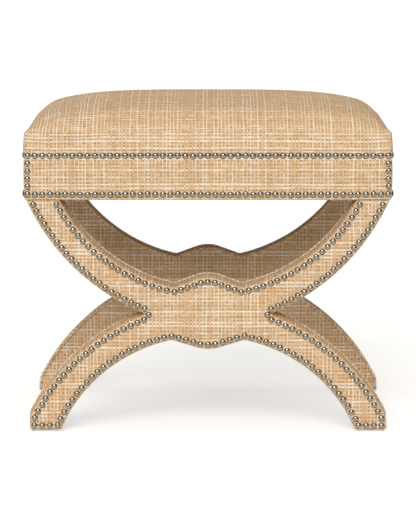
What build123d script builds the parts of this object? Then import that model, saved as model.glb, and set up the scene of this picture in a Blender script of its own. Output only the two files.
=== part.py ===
from build123d import *
import os
from math import cos, radians, sin

# Padded stool on two X-shaped frames, covered in woven cloth and trimmed with round-headed nails.
# Millimetres. X runs across the stool, Y from front to back, Z up. The origin is on the floor,
# under the middle of the stool.

# Cloth and wadding
cover_thickness = 1.2
dust_cloth_thickness = 0.8
frame_wadding_thickness = 4.8
band_wadding_thickness = 2.8
pad_wadding_thickness = 4.8

# Seat frame
seat_width = 552.0
seat_depth = 406.0
seat_underside = 352.5
rail_thickness = 20.0
rail_height = 56.0
deck_thickness = 15.0
block_leg = 75.0
block_shoulder = 24.0
block_height = 30.0
band_fold = 18.0

# Seat pad, from its seam at the top of the band to its crown
seam_drop = 5.4
pad_overhang = 2.0
pad_side_height = 27.0
pad_roll_run = 70.0
pad_roll_rise = 44.0
pad_roll_bow = 11.0
pad_crown_height = 52.0
pad_corner_radius = 12.0
pad_draw_in = 3.0

# X-frame outline, right-hand half; the arcs between its points are given by their bow
layer_thickness = 19.0
arm_setback = 3.0
arm_width = 49.4
arm_outer_bow = 24.6
arm_inner_bow = 24.3
foot_setback = 6.5
foot_width = 46.2
foot_plumb = 20.0
leg_outer_bow = 22.6
leg_inner_bow = 26.3
waist_height = 179.0
waist_width = 185.0
crest_rise = 59.3
crest_width = 102.0
crest_valley_rise = 40.7
crest_radius = 54.0
keel_drop = 55.6
keel_width = 110.0
keel_cusp_drop = 39.2
keel_radius = 60.0
corner_round = 8.0
notch_round = 2.0
ankle_round = 25.0
outline_overrun = 40.0

# Welt on the inner faces
welt_width = 4.5
welt_height = 3.5
welt_setback = 0.5

# Stretcher between the frames
stretcher_width = 64.0
stretcher_height = 30.0
stretcher_drop = 22.0

# Round-headed nails
nail_head_diameter = 9.5
nail_head_height = 3.2
nail_shank_diameter = 1.4
nail_length = 11.0
nail_pitch = 11.3
nail_inset = 6.8
band_nail_inset = 8.6
corner_nail_inset = 5.4
side_nail_inset = 13.0

# Fasteners and glides
bolt_diameter = 8.0
bolt_head_width = 13.0
bolt_head_height = 5.3
bolt_clearance = 0.4
washer_diameter = 18.0
washer_thickness = 1.6
washer_margin = 1.5
arm_bolt_length = 65.0
stretcher_bolt_length = 80.0
stretcher_bolt_spacing = 34.0
counterbore_depth = 8.0
dowel_diameter = 8.0
dowel_margin = 3.5
dowel_length = 50.0
screw_diameter = 4.5
screw_head_diameter = 9.0
rail_screw_length = 60.0
rail_screw_margin = 14.0
deck_screw_length = 40.0
deck_screws_across = 4
deck_screws_deep = 3
layer_screw_length = 32.0
waist_screw_spacing = 124.0
glide_diameter = 20.0
glide_height = 2.5
glide_pin_diameter = 2.4
glide_pin_length = 15.0

# Levels and planes that follow from the sizes above
half_width = seat_width / 2
half_depth = seat_depth / 2
skin = cover_thickness + frame_wadding_thickness
band_skin = cover_thickness + band_wadding_thickness
frame_thickness = 2 * (skin + layer_thickness)
rail_bottom = seat_underside + cover_thickness
deck_bottom = rail_bottom + rail_height
deck_top = deck_bottom + deck_thickness
seam_height = deck_top - seam_drop
pad_shoulder = seam_height + pad_side_height
band_nail_height = seat_underside + band_nail_inset
rail_outer_x = half_width - band_skin
rail_outer_y = half_depth - band_skin
rail_inner_x = rail_outer_x - rail_thickness
rail_inner_y = rail_outer_y - rail_thickness
foot_bottom = glide_height
SIDES = {"front": -1, "back": 1}
CORNERS = [(sx, sy) for sx in (-1, 1) for sy in (-1, 1)]
TOUCH = 0.001


def span(x, y, z):
    """Box between the two ends given for each axis."""
    size = [abs(ends[1] - ends[0]) for ends in (x, y, z)]
    middle = [(ends[0] + ends[1]) / 2 for ends in (x, y, z)]
    return Pos(*middle) * Box(*size)


def around_z(x, y, z):
    """Box centred on the Z axis, from half sizes across X and Y and the two ends in Z."""
    return span((-x, x), (-y, y), z)


def rod(point, direction, diameter, length):
    """Round bar that starts at a point and runs along a direction."""
    bar = Cylinder(diameter / 2, length, align=(Align.CENTER, Align.CENTER, Align.MIN))
    return Plane(origin=point, z_dir=direction) * bar


def bolt(point, direction, length):
    """Hexagon bolt: its shank starts at the point and its head stands behind it."""
    head = extrude(RegularPolygon(bolt_head_width / 2, 6, major_radius=False), amount=-bolt_head_height)
    shank = Cylinder(bolt_diameter / 2, length, align=(Align.CENTER, Align.CENTER, Align.MIN))
    return Plane(origin=point, z_dir=direction) * (head + shank)


def washer(point, direction):
    """Flat ring that ends at the point, round a bolt."""
    ring = Circle(washer_diameter / 2) - Circle(bolt_diameter / 2 + bolt_clearance)
    return Plane(origin=point, z_dir=direction) * extrude(ring, amount=washer_thickness)


def screw(point, direction, length):
    """Countersunk screw with its flat head level with the point."""
    half_head = screw_head_diameter / 2
    half_shank = screw_diameter / 2
    neck = half_head - half_shank
    profile = Polyline(
        (0, 0), (half_head, 0), (half_shank, neck), (half_shank, length - half_shank), (0, length), close=True
    )
    body = revolve(Plane.XZ * make_face(profile), Axis.Z)
    return Plane(origin=point, z_dir=direction) * body


def nail_solid():
    """Round-headed nail along Z: domed head above the cloth, pointed shank below it."""
    radius = nail_head_diameter / 2
    shank = nail_shank_diameter / 2
    dome = ThreePointArc(
        (0, nail_head_height), (radius * sin(radians(50)), nail_head_height * cos(radians(50))), (radius, 0)
    )
    rest = Polyline(
        (radius, 0), (shank, 0), (shank, shank - nail_length), (0, -nail_length), (0, nail_head_height)
    )
    return revolve(Plane.XZ * make_face([dome, rest]), Axis.Z).solid()


nail = nail_solid()


def nail_row(start, end):
    """Evenly spaced points from start to end, both included."""
    start, end = Vector(*start), Vector(*end)
    steps = max(1, round((end - start).length / nail_pitch))
    return [start + (end - start) * (i / steps) for i in range(steps + 1)]


def nails(points, outward):
    """Group of nails driven square into a flat face."""
    return [Plane(origin=point, z_dir=outward) * nail for point in points]


def save(name, shape):
    """Write one named piece, or a group of separate solids under one name."""
    solids = [solid for item in (shape if isinstance(shape, list) else [shape]) for solid in item.solids()]
    export_step(solids[0] if len(solids) == 1 else Compound(solids), f"parts/{name}.step")


# X-frame outline
def plain_edges(sketch):
    """The edges of a sketch redrawn as plain lines and arcs."""
    curved = [edge for edge in sketch.edges() if edge.geom_type != GeomType.LINE]
    straight = [edge for edge in sketch.edges() if edge.geom_type == GeomType.LINE]
    return straight + [ThreePointArc(edge @ 0, edge @ 0.5, edge @ 1) for edge in curved]


class FrameOutline:
    """Outline of one X-frame seen from the front, with X across and Z drawn as the sketch's Y."""

    def __init__(self):
        arm_out = (half_width - arm_setback, seat_underside)
        arm_in = (arm_out[0] - arm_width, seat_underside)
        notch = (waist_width / 2, waist_height)
        foot_out = half_width - foot_setback
        ankle = (foot_out, foot_bottom + foot_plumb)
        foot_in = (foot_out - foot_width, foot_bottom)
        valley = (crest_width / 2, waist_height + crest_valley_rise)
        cusp = (keel_width / 2, waist_height - keel_cusp_drop)
        crest = (0, waist_height + crest_rise)
        keel = (0, waist_height - keel_drop)

        self.arm_inner = SagittaArc(valley, arm_in, -arm_inner_bow)
        self.arm_outer = SagittaArc(arm_out, notch, arm_outer_bow)
        self.leg_outer = SagittaArc(notch, ankle, leg_outer_bow)
        self.leg_inner = SagittaArc(foot_in, cusp, -leg_inner_bow)
        above_in = self.arm_inner @ 1 + (self.arm_inner % 1) * outline_overrun
        above_out = self.arm_outer @ 0 - (self.arm_outer % 0) * outline_overrun
        below_in = self.leg_inner @ 0 - (self.leg_inner % 0) * outline_overrun
        below_out = Vector(foot_out, below_in.Y)
        half = [
            Line(crest, valley),
            self.arm_inner,
            Polyline(arm_in, above_in, above_out, arm_out),
            self.arm_outer,
            self.leg_outer,
            Polyline(ankle, below_out, below_in, foot_in),
            self.leg_inner,
            Line(cusp, keel),
        ]
        face = make_face(half + [mirror(line, about=Plane.YZ) for line in half])
        rounds = [
            (crest_radius, [crest]),
            (keel_radius, [keel]),
            (corner_round, [valley, cusp]),
            (notch_round, [notch]),
            (ankle_round, [ankle]),
        ]
        for radius, points in rounds:
            spots = [Vector(sx * x, z) for x, z in points for sx in (-1, 1)]
            picked = [v for v in face.vertices() if any((Vector(v) - spot).length < TOUCH for spot in spots)]
            face = fillet(picked, radius)
        self.face = face

    def inset(self, distance, bottom=foot_bottom, top=seat_underside):
        """The outline drawn in by a distance, cut off level at the foot and at the seat."""
        face = make_face(plain_edges(offset(self.face, amount=-distance))) if distance else self.face
        window = Pos(0, (bottom + top) / 2) * Rectangle(2 * seat_width, top - bottom)
        return face & window

    def ring(self, outside, inside, bottom=foot_bottom, top=seat_underside):
        """The strips between two insets by name: upper, lower, left and right."""
        strips = (self.inset(outside, bottom, top) - self.inset(inside, bottom, top)).faces()
        strips = sorted(strips, key=lambda strip: strip.center(CenterOf.BOUNDING_BOX).X)
        left, right = strips[0], strips[-1]
        lower, upper = sorted(strips[1:-1], key=lambda strip: strip.center(CenterOf.BOUNDING_BOX).Y)
        return {"upper": upper, "lower": lower, "left": left, "right": right}

    def nail_points(self):
        """Points of the nail row: even spans between the corners of the outline."""
        low = foot_bottom + nail_inset
        high = seat_underside - nail_inset
        face = self.inset(nail_inset, low, high)
        edges = [edge for edge in face.edges() if abs((edge @ 0.5).Y - high) > TOUCH]
        hollows = [corner_round + nail_inset, notch_round + nail_inset]
        tips = [crest_radius - nail_inset, keel_radius - nail_inset]
        points = []
        for path in Wire.combine(edges):
            runs = path.order_edges()
            marks = [0.0]
            done = 0.0
            for run in runs:
                curved = run.geom_type == GeomType.CIRCLE
                if curved and any(abs(run.radius - bend) < TOUCH for bend in hollows + tips):
                    marks.append(done + run.length / 2)
                if abs((run @ 0.5).Y - low) < TOUCH:
                    marks += [done, done + run.length]
                done += run.length
            marks = sorted(set(marks + [done]))
            for start, end in zip(marks, marks[1:]):
                steps = max(1, round((end - start) / nail_pitch))
                points += [along(runs, start + (end - start) * i / steps) for i in range(steps)]
            points.append(along(runs, done))
        return points


def along(runs, distance):
    """Point at a distance along a chain of lines and arcs."""
    for run in runs:
        if distance <= run.length + TOUCH:
            return run @ min(1.0, distance / run.length)
        distance -= run.length
    return runs[-1] @ 1


outline = FrameOutline()


def slab(face, side, start, thickness):
    """Flat piece of an X-frame: its depth is counted inwards from the frame's outer face."""
    near = side * (half_depth - start)
    far = side * (half_depth - start - thickness)
    return Pos(0, max(near, far), 0) * extrude(Plane.XZ * face, amount=thickness)


def level(point, y):
    """Outline point lifted to its place at depth y."""
    return (point.X, y, point.Y)


# Places shared by the pieces that bolt together
bolt_x = rail_inner_x - washer_diameter / 2 - washer_margin
bolt_y = rail_inner_y - washer_diameter / 2 - washer_margin
block_top = rail_bottom + block_height
dowel_x = half_width - arm_setback - arm_width / 2
dowel_y = rail_inner_y + dowel_margin + dowel_diameter / 2
stretcher_middle = waist_height - stretcher_drop
layer_face_y = half_depth - skin
stretcher_end_y = half_depth - skin - 2 * layer_thickness
bolt_seat_y = layer_face_y - counterbore_depth
glide_x = half_width - foot_setback - foot_width / 2
glide_y = half_depth - frame_thickness / 2

arm_bolts = []
arm_bolt_holes = []
arm_washers = []
arm_dowels = []
for sx, sy in CORNERS:
    seat = (sx * bolt_x, sy * bolt_y, block_top)
    arm_washers.append(washer(seat, (0, 0, 1)))
    head = (seat[0], seat[1], seat[2] + washer_thickness)
    arm_bolts.append(bolt(head, (0, 0, -1), arm_bolt_length))
    arm_bolt_holes.append(rod(head, (0, 0, -1), bolt_diameter + 2 * bolt_clearance, arm_bolt_length))
    peg = (sx * dowel_x, sy * dowel_y, seat_underside - dowel_length / 2)
    arm_dowels.append(rod(peg, (0, 0, 1), dowel_diameter, dowel_length))

stretcher_bolts = []
stretcher_washers = []
stretcher_bolt_holes = []
for sx, sy in CORNERS:
    seat = (sx * stretcher_bolt_spacing / 2, sy * bolt_seat_y, stretcher_middle)
    head = (seat[0], sy * (bolt_seat_y + washer_thickness), seat[2])
    face = (seat[0], sy * layer_face_y, seat[2])
    stretcher_washers.append(washer(seat, (0, sy, 0)))
    stretcher_bolts.append(bolt(head, (0, -sy, 0), stretcher_bolt_length))
    pocket = rod(face, (0, -sy, 0), washer_diameter + 2 * washer_margin, counterbore_depth)
    drilled = rod(head, (0, -sy, 0), bolt_diameter + 2 * bolt_clearance, stretcher_bolt_length)
    stretcher_bolt_holes.append(pocket + drilled)


# Seat frame
def rail_screws():
    """Two screws at each corner, through the front or back rail into the end of a side rail."""
    heights = (rail_bottom + rail_screw_margin, deck_bottom - rail_screw_margin)
    middle = rail_outer_x - rail_thickness / 2
    return [
        screw((sx * middle, sy * rail_outer_y, z), (0, -sy, 0), rail_screw_length)
        for sx, sy in CORNERS
        for z in heights
    ]


def deck_screws():
    """Screws round the deck, down into the middle of the rails."""
    x = rail_outer_x - rail_thickness / 2
    y = rail_outer_y - rail_thickness / 2
    across = [2 * x * (i + 0.5) / deck_screws_across - x for i in range(deck_screws_across)]
    deep = [2 * y * (i + 0.5) / deck_screws_deep - y for i in range(deck_screws_deep)]
    spots = [(along_x, sy * y) for along_x in across for sy in (-1, 1)]
    spots += [(sx * x, along_y) for along_y in deep for sx in (-1, 1)]
    return [screw((px, py, deck_top), (0, 0, -1), deck_screw_length) for px, py in spots]


def corner_block(sx, sy):
    """Five-sided block glued into a corner of the rails and bolted to the arm below."""
    plan = Polyline(
        (0, 0),
        (block_leg, 0),
        (block_leg, block_shoulder),
        (block_shoulder, block_leg),
        (0, block_leg),
        close=True,
    )
    block = extrude(make_face(plan), amount=block_height)
    for axis, sign in ((Plane.YZ, sx), (Plane.XZ, sy)):
        block = mirror(block, about=axis) if sign > 0 else block
    return Pos(sx * rail_inner_x, sy * rail_inner_y, rail_bottom) * block


def make_seat_frame():
    """Rails, corner blocks and deck with their screws."""
    joints = rail_screws()
    fixings = deck_screws()
    height = (rail_bottom, deck_bottom)
    for name, sy in SIDES.items():
        rail = span((-rail_outer_x, rail_outer_x), (sy * rail_inner_y, sy * rail_outer_y), height)
        save(f"seat_{name}_rail", rail - joints - fixings - arm_dowels)
    for name, sx in (("left", -1), ("right", 1)):
        rail = span((sx * rail_inner_x, sx * rail_outer_x), (-rail_inner_y, rail_inner_y), height)
        save(f"seat_{name}_rail", rail - joints - fixings)
    save("seat_corner_blocks", [corner_block(sx, sy) - arm_bolt_holes for sx, sy in CORNERS])
    save("seat_deck", around_z(rail_outer_x, rail_outer_y, (deck_bottom, deck_top)) - fixings)
    save("seat_rail_screws", joints)
    save("seat_deck_screws", fixings)


# Seat cloth
def make_band():
    """Cloth band with its turned-under edge, the wadding behind it and the dust cover."""
    tall = (rail_bottom, seam_height)
    open_x = half_width - band_fold
    open_y = half_depth - band_fold
    shell = around_z(half_width, half_depth, (seat_underside, seam_height))
    cloth_back = around_z(half_width - cover_thickness, half_depth - cover_thickness, tall)
    fold_gap = around_z(open_x, open_y, (seat_underside, rail_bottom))
    wood = around_z(rail_outer_x, rail_outer_y, tall)
    save("seat_band_cover", shell - cloth_back - fold_gap - arm_dowels)
    save("seat_band_wadding", cloth_back - wood)
    dust = around_z(open_x, open_y, (rail_bottom - dust_cloth_thickness, rail_bottom))
    save("seat_dust_cover", dust - arm_bolt_holes - arm_dowels)


def pad_plan(inset):
    """Pad seen from above: four sides drawn in at their middle and four round corners."""
    x = half_width + pad_overhang - inset
    y = half_depth + pad_overhang - inset
    flat_x = x - pad_corner_radius
    flat_y = y - pad_corner_radius
    turn = pad_corner_radius * cos(radians(45))
    lines = []
    for sx, sy in CORNERS:
        middle = (sx * (flat_x + turn), sy * (flat_y + turn))
        lines.append(ThreePointArc((sx * x, sy * flat_y), middle, (sx * flat_x, sy * y)))
    for sign in (-1, 1):
        lines.append(ThreePointArc((-flat_x, sign * y), (0, sign * (y - pad_draw_in)), (flat_x, sign * y)))
        lines.append(ThreePointArc((sign * x, -flat_y), (sign * (x - pad_draw_in), 0), (sign * x, flat_y)))
    return make_face(lines)


def pad_profile(half, inset):
    """Pad seen from one side: bulging sides, a rolled shoulder and a flat crown."""
    foot = (half - inset, seam_height)
    edge = (half + pad_overhang - inset, pad_shoulder)
    roll = (half + pad_overhang - pad_roll_run, pad_shoulder + pad_roll_rise - inset)
    top = (0, pad_shoulder + pad_crown_height - inset)
    right = [SagittaArc(foot, edge, -pad_overhang), SagittaArc(edge, roll, -pad_roll_bow)]
    left = [mirror(line, about=Plane.YZ) for line in right]
    crown = ThreePointArc(roll, top, (-roll[0], roll[1]))
    return make_face(right + left + [crown, Line((-foot[0], seam_height), foot)])


def pad_solid(inset):
    """Crowned pad, drawn in all over by an inset: what its three views have in common."""
    across = extrude(Plane.XZ * pad_profile(half_width, inset), amount=seat_depth, both=True)
    deep = extrude(Plane.YZ * pad_profile(half_depth, inset), amount=seat_width, both=True)
    height = pad_side_height + pad_crown_height
    return across & deep & (Pos(0, 0, seam_height) * extrude(pad_plan(inset), amount=height))


def make_pad():
    """Foam on the deck, wadding over it and the cloth over both."""
    cloth = pad_solid(0)
    filling = pad_solid(cover_thickness)
    core = pad_solid(cover_thickness + pad_wadding_thickness)
    deck_edge = around_z(rail_outer_x, rail_outer_y, (seam_height, deck_top))
    below_foam = around_z(half_width, half_depth, (seam_height, deck_top))
    save("seat_top_cover", cloth - filling)
    save("seat_wadding", filling - core - deck_edge)
    save("seat_foam", core - below_foam)


def make_seat_nails():
    """Nail rows along the top and bottom of the band and up its front and back corners."""
    x = half_width - corner_nail_inset
    y = half_depth - side_nail_inset
    for name, z in (("top", seam_height), ("bottom", band_nail_height)):
        group = []
        for sign in (-1, 1):
            face = sign * half_depth
            end = sign * half_width
            group += nails(nail_row((-x, face, z), (x, face, z)), (0, sign, 0))
            group += nails(nail_row((end, -y, z), (end, y, z)), (sign, 0, 0))
        save(f"seat_{name}_nails", group)
    upright = []
    for sx, sy in CORNERS:
        row = nail_row((sx * x, sy * half_depth, band_nail_height), (sx * x, sy * half_depth, seam_height))
        upright += nails(row[1:-1], (0, sy, 0))
    save("seat_corner_nails", upright)


# X-frames
def layer_screws(side):
    """Screws that hold the two layers of an X-frame together, driven from its inner face."""
    arm = (outline.arm_inner @ 0.5 + outline.arm_outer @ 0.5) / 2
    leg = (outline.leg_inner @ 0.5 + outline.leg_outer @ 0.5) / 2
    waist = Vector(waist_screw_spacing / 2, waist_height)
    spots = [Vector(sx * p.X, p.Y) for p in (arm, leg, waist) for sx in (-1, 1)]
    return [screw(level(p, side * stretcher_end_y), (0, side, 0), layer_screw_length) for p in spots]


def make_frame(name, side):
    """One X-frame: two wood layers, wadding, cloth, welt and nails."""
    screws = layer_screws(side)
    socket_z = (stretcher_middle - stretcher_height / 2, stretcher_middle + stretcher_height / 2)
    socket = span((-stretcher_width / 2, stretcher_width / 2), (0, side * half_depth), socket_z)
    wood = outline.inset(skin, foot_bottom + cover_thickness)
    padded = outline.inset(cover_thickness, foot_bottom + cover_thickness)
    whole = outline.inset(0, foot_bottom + cover_thickness)
    inner_start = skin + layer_thickness
    inner_wadding_start = inner_start + layer_thickness
    inner_cover_start = inner_wadding_start + frame_wadding_thickness

    drilled = arm_bolts + arm_dowels + stretcher_bolt_holes + screws
    save(f"{name}_outer_layer", slab(wood, side, skin, layer_thickness) - drilled)
    save(f"{name}_inner_layer", slab(wood, side, inner_start, layer_thickness) - drilled)
    save(f"{name}_layer_screws", screws)
    save(f"{name}_outer_wadding", slab(padded, side, cover_thickness, frame_wadding_thickness))
    save(f"{name}_inner_wadding", slab(padded, side, inner_wadding_start, frame_wadding_thickness) - socket)
    save(f"{name}_outer_cover", slab(whole, side, 0, cover_thickness))
    save(f"{name}_inner_cover", slab(whole, side, inner_cover_start, cover_thickness) - socket)

    edge_wadding = outline.ring(cover_thickness, skin, foot_bottom + cover_thickness)
    save(f"{name}_edge_wadding", [slab(s, side, skin, 2 * layer_thickness) for s in edge_wadding.values()])
    edge_depth = frame_thickness - 2 * cover_thickness
    for edge, strip in outline.ring(0, cover_thickness, foot_bottom + cover_thickness).items():
        save(f"{name}_{edge}_edge_cover", slab(strip, side, cover_thickness, edge_depth))
    soles = outline.inset(0, foot_bottom, foot_bottom + cover_thickness).faces()
    save(f"{name}_foot_covers", [slab(sole, side, 0, frame_thickness) for sole in soles])

    cords = outline.ring(welt_setback, welt_setback + welt_width, foot_bottom + cover_thickness)
    save(f"{name}_welts", [slab(cord, side, frame_thickness, welt_height) for cord in cords.values()])
    spots = [level(point, side * half_depth) for point in outline.nail_points()]
    save(f"{name}_nails", nails(spots, (0, side, 0)))


# Stretcher, bolts and glides
def make_stretcher():
    """Bar between the frames, bolted through both, with its own wadding and cloth."""
    low = stretcher_middle - stretcher_height / 2
    high = stretcher_middle + stretcher_height / 2
    half = stretcher_width / 2
    gap = half_depth - frame_thickness

    def sleeve(build, reach):
        return around_z(half + build, reach, (low - build, high + build))

    bar = sleeve(0, stretcher_end_y)
    save("stretcher_bar", bar - stretcher_bolts)
    save("stretcher_wadding", sleeve(band_wadding_thickness, gap) - bar)
    save("stretcher_cover", sleeve(band_skin, gap) - sleeve(band_wadding_thickness, gap))
    save("stretcher_bolts", stretcher_bolts)
    save("stretcher_washers", stretcher_washers)


def make_glides():
    """Nail-on glide under the middle of each foot."""
    glides = []
    for sx, sy in CORNERS:
        middle = (sx * glide_x, sy * glide_y, 0)
        pin = rod(middle, (0, 0, 1), glide_pin_diameter, glide_height + glide_pin_length)
        glides.append(rod(middle, (0, 0, 1), glide_diameter, glide_height) + pin)
    save("foot_glides", glides)


os.makedirs("parts", exist_ok=True)
make_seat_frame()
make_band()
make_pad()
make_seat_nails()
for frame_name, frame_side in SIDES.items():
    make_frame(f"{frame_name}_frame", frame_side)
make_stretcher()
save("arm_bolts", arm_bolts)
save("arm_washers", arm_washers)
save("arm_dowels", arm_dowels)
make_glides()
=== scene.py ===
"""X-frame stool: a crowned seat on two crossed frames, all in woven cloth with nail trim."""

import math
import random

import bmesh
import bpy
from mathutils import Matrix, Vector, kdtree, noise


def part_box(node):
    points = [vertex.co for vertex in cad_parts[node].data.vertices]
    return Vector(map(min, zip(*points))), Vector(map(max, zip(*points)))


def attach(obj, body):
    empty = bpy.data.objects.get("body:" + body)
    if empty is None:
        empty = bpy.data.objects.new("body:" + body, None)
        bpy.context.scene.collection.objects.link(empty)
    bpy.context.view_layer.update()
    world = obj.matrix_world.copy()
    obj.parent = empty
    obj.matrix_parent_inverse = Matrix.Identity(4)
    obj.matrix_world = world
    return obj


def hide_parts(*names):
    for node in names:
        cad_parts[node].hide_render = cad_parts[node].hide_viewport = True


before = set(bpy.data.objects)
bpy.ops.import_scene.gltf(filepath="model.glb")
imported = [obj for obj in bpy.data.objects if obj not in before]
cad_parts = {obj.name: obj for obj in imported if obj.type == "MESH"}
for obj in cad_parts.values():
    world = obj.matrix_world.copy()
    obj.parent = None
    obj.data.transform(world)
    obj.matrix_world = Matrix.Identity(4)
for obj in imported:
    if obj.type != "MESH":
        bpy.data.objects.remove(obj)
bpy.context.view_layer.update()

MM = 0.001
weld = 1e-6  # metres; points this close are one
slack = 1e-5  # metres; points this close are level
random.seed(11)

# Cloth
cover_thickness = 1.2 * MM
cambric_thickness = 0.4 * MM
cloth_ripple = 0.25 * MM  # unevenness of stretched cloth
warp_repeat = 5.5  # mm, one cream warp yarn and a golden pair
cream_width = 0.31  # share of the repeat that the cream yarn takes
weft_pitch = 2.75  # mm, one doubled weft
warp_sway = 5.0  # mm, how far the yarns wander out of line
weft_sway = 4.0
warp_slub_length = 34.0  # mm
weft_slub_length = 21.0

# Crossed frames, each with the way its outer face looks along y
crossed_frames = {"front_frame": -1, "back_frame": 1}
outer_roll = 4.0 * MM  # rounding of a frame's outer rims
inner_roll = 2.0 * MM  # rounding of its inner rims, under the welt
foot_corner_roll = 5.0 * MM
roll_steps = 4
rim_step = 5.0 * MM  # longest edge along a rim
panel_cell = 6.0 * MM
strip_cell = 5.5 * MM
panel_crown = 1.5 * MM  # how far the padding lifts a frame's outer face
inner_crown = 0.8 * panel_crown
crown_reach = 24.0 * MM  # how far in from the rim the face has its full lift
nail_inset = 6.8 * MM  # nail row to the rim of a frame
nail_draw = 0.35 * MM  # how far the nails draw the cloth down
nail_draw_width = 2.6 * MM
strip_bulge = 1.6 * MM  # how far the padding lifts a frame's edges
strip_count = 4
turn_in = 6.0 * MM  # cloth of a face panel that is turned over the rim, out of sight
welt_inset = 3.3 * MM  # middle of a welt to the rim
welt_radius = 2.2 * MM
welt_stand = 1.2 * MM  # middle of a welt out from the inner face
welt_sides = 10

# Seat band
band_corner_roll = 5.0 * MM
band_lower_roll = 3.0 * MM
band_row = 5.0 * MM
band_cell = 9.0 * MM
band_swell = 0.9 * MM  # how far the cloth lifts between the nail rows

# Seat pad
pad_top = 497.6 * MM
pad_shoulder_front = 455 * MM
pad_shoulder_back = 441 * MM
pad_roll_across = (250 * MM, 3.0)  # how far in the roll reaches, and how full it is
pad_roll_deep = (190 * MM, 2.2)
pad_corner_radius = 12 * MM
pad_spread = 2.5 * MM  # how far its sides stand out past the band
pad_draw_in = 3.0 * MM
pad_cell = 5.0 * MM
pad_side_rows = 6
pad_side_bow = 0.6 * MM
pad_swell = 6.0 * MM  # room left for the swelling of the cloth
pad_swell_limit = 6.0 * MM
deck_gap = 0.6 * MM  # between the deck's edge and the pad's cloth
press_frames = 20
even_rounds = 12
pad_cloth = {
    "quality": 6,
    "mass": 0.4,
    "tension_stiffness": 40,
    "compression_stiffness": 40,
    "shear_stiffness": 12,
    "bending_stiffness": 1.5,
    "use_pressure": True,
    "uniform_pressure_force": 4,
    "vertex_group_mass": "held",
}

# Dust cover and stretcher
dust_cells = (60, 44)
dust_drop = 0.5 * MM
dust_sag = 2.2 * MM
sleeve_roll = 8.0 * MM
sleeve_row = 8.0 * MM
sleeve_cell = 6.0 * MM
sleeve_swell = 1.2 * MM

# Nails
nail_radius = 4.75 * MM
nail_height = 3.2 * MM
nail_rim = 0.5 * MM  # height of the upright rim below the dome
nail_sink = 0.3 * MM  # how far the head goes into the cloth
nail_shank = 11.0 * MM
nail_slip = 0.22 * MM  # how far a nail sits off its line
nail_lean = 0.035  # radians

# Light
floor_colour = (0.85, 0.82, 0.77)
floor_glow = (0.52, 0.54, 0.58)
floor_reach = 30
room_light = 0.28
ceiling_light = 0.22
room_tone = (1.0, 0.94, 0.78)
lamps = {  # strength and tone; spread, elevation and bearing in degrees
    "front_lamp": (1.72, (1.0, 1.0, 1.0), 36, 32, -8),
    "top_lamp": (0.6, (1.0, 0.94, 0.78), 60, 78, -10),
}

# Camera
picture_height = 520  # pixels, the longer side
focal_length = 3509.7  # pixels
sensor_width = 36
camera_place = (0, -5.433, 0.9605)
camera_dip = 7.607  # degrees below level


class Shade:
    """A socket in a material's node tree. Sums on it add Math nodes."""

    def __init__(self, tree, socket=None):
        self.tree = tree
        self.socket = socket

    def node(self, kind, settings=None, sockets=None, out=0):
        """Any node: its type, its settings first, then values or links for its sockets."""
        made = self.tree.nodes.new("ShaderNode" + kind)
        for key, value in (settings or {}).items():
            setattr(made, key, value)
        fill_sockets(made, sockets or {})
        return Shade(self.tree, made.outputs[out])

    def other(self, out):
        """Another output of the same node."""
        return Shade(self.tree, self.socket.node.outputs[out])

    def math(self, operation, *values):
        return self.node("Math", {"operation": operation}, dict(enumerate(values)))

    def point(self, x, y, z):
        return self.node("CombineXYZ", None, {0: x, 1: y, 2: z})

    def clouds(self, place, scale, detail):
        """Soft random patches."""
        return self.node("TexNoise", None, {"Vector": place, "Scale": scale, "Detail": detail})

    def bump(self, strength, distance, height):
        sockets = {"Strength": strength, "Distance": distance, "Height": height}
        return self.node("Bump", None, sockets)

    def mix(self, amount, first, second):
        """Colour between two colours."""
        ends = {0: amount, 6: colour4(first), 7: colour4(second)}
        return self.node("Mix", {"data_type": "RGBA"}, ends, out=2)

    def tint(self, colour, amount):
        """Colour made darker or lighter by a value."""
        grey = self.node("CombineColor", None, {0: amount, 1: amount, 2: amount})
        settings = {"data_type": "RGBA", "blend_type": "MULTIPLY"}
        return self.node("Mix", settings, {0: 1.0, 6: colour4(colour), 7: grey}, out=2)

    def between(self, low, high):
        """0 below low and 1 above high, smooth between them."""
        settings = {"interpolation_type": "SMOOTHSTEP"}
        return self.node("MapRange", settings, {0: self, 1: low, 2: high})

    def __add__(self, other):
        return self.math("ADD", self, other)

    def __sub__(self, other):
        return self.math("SUBTRACT", self, other)

    def __rsub__(self, other):
        return self.math("SUBTRACT", other, self)

    def __mul__(self, other):
        return self.math("MULTIPLY", self, other)

    def __truediv__(self, other):
        return self.math("DIVIDE", self, other)

    __radd__ = __add__
    __rmul__ = __mul__


def fill_sockets(node, values):
    """Sets a node's sockets to plain values, or links them to Shades."""
    for key, value in values.items():
        if isinstance(value, Shade):
            value.tree.links.new(value.socket, node.inputs[key])
        else:
            node.inputs[key].default_value = value


def colour4(colour):
    return colour if isinstance(colour, Shade) else (*colour, 1)


def srgb(red, green, blue):
    """Linear colour from the 0 to 255 values of a screen colour."""
    parts = (red / 255, green / 255, blue / 255)
    return tuple(c / 12.92 if c <= 0.04045 else ((c + 0.055) / 1.055) ** 2.4 for c in parts)


def new_material(name):
    """A material, a Shade to start from and its Principled shader."""
    material = bpy.data.materials.new(name)
    material.use_nodes = True
    shader = material.node_tree.nodes["Principled BSDF"]
    return material, Shade(material.node_tree), shader


# Materials


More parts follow.
